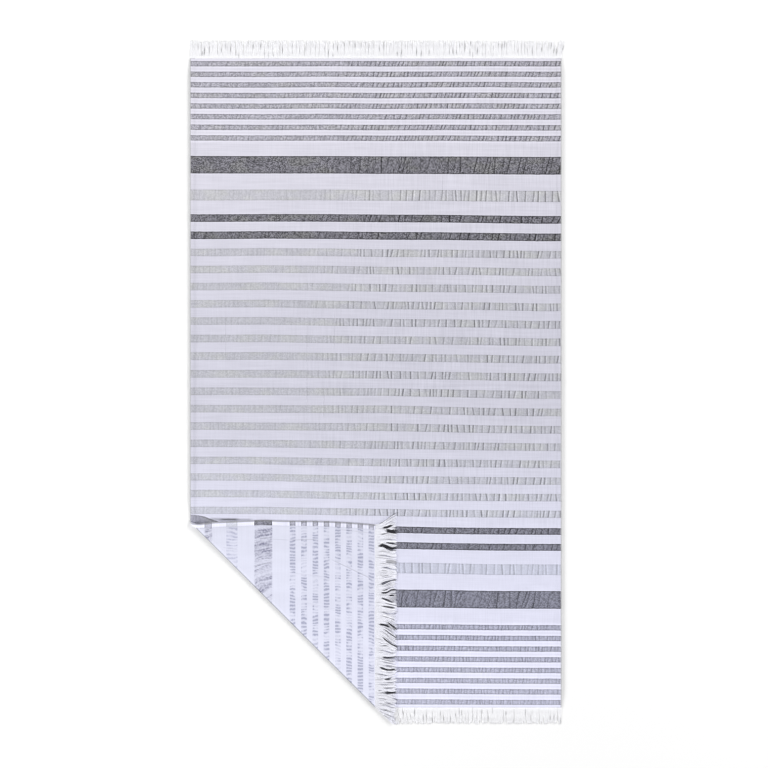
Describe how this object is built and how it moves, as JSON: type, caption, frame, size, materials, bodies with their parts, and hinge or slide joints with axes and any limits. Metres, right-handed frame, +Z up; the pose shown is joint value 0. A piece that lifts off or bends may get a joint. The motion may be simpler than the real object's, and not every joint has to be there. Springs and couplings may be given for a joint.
{
  "type": "beach towel",
  "caption": "Flat-woven striped cotton beach towel lying open on the ground, with fringed short ends, hemmed long edges and its lower left corner turned over.",
  "frame": {"origin": "middle of the towel's outline, fringes included, on the ground that it lies on", "axes": "+X across the towel to the right as seen from above, +Y along the towel to its top end, away from the turned corner, +Z up from the ground"},
  "size_m": [1.0165, 1.8694, 0.0126],
  "materials": {
    "striped_cotton": "matt flat-woven cotton, pale lavender white with bands in light, middle and dark grey, paler on the back",
    "fringe_yarn": "matt off-white cotton yarn ends, cut straight"
  },
  "bodies": {
    "root": {"cloth": "striped_cotton", "fringe_top": "fringe_yarn", "fringe_bottom": "fringe_yarn", "fringe_folded": "fringe_yarn"}
  },
  "joints": []
}
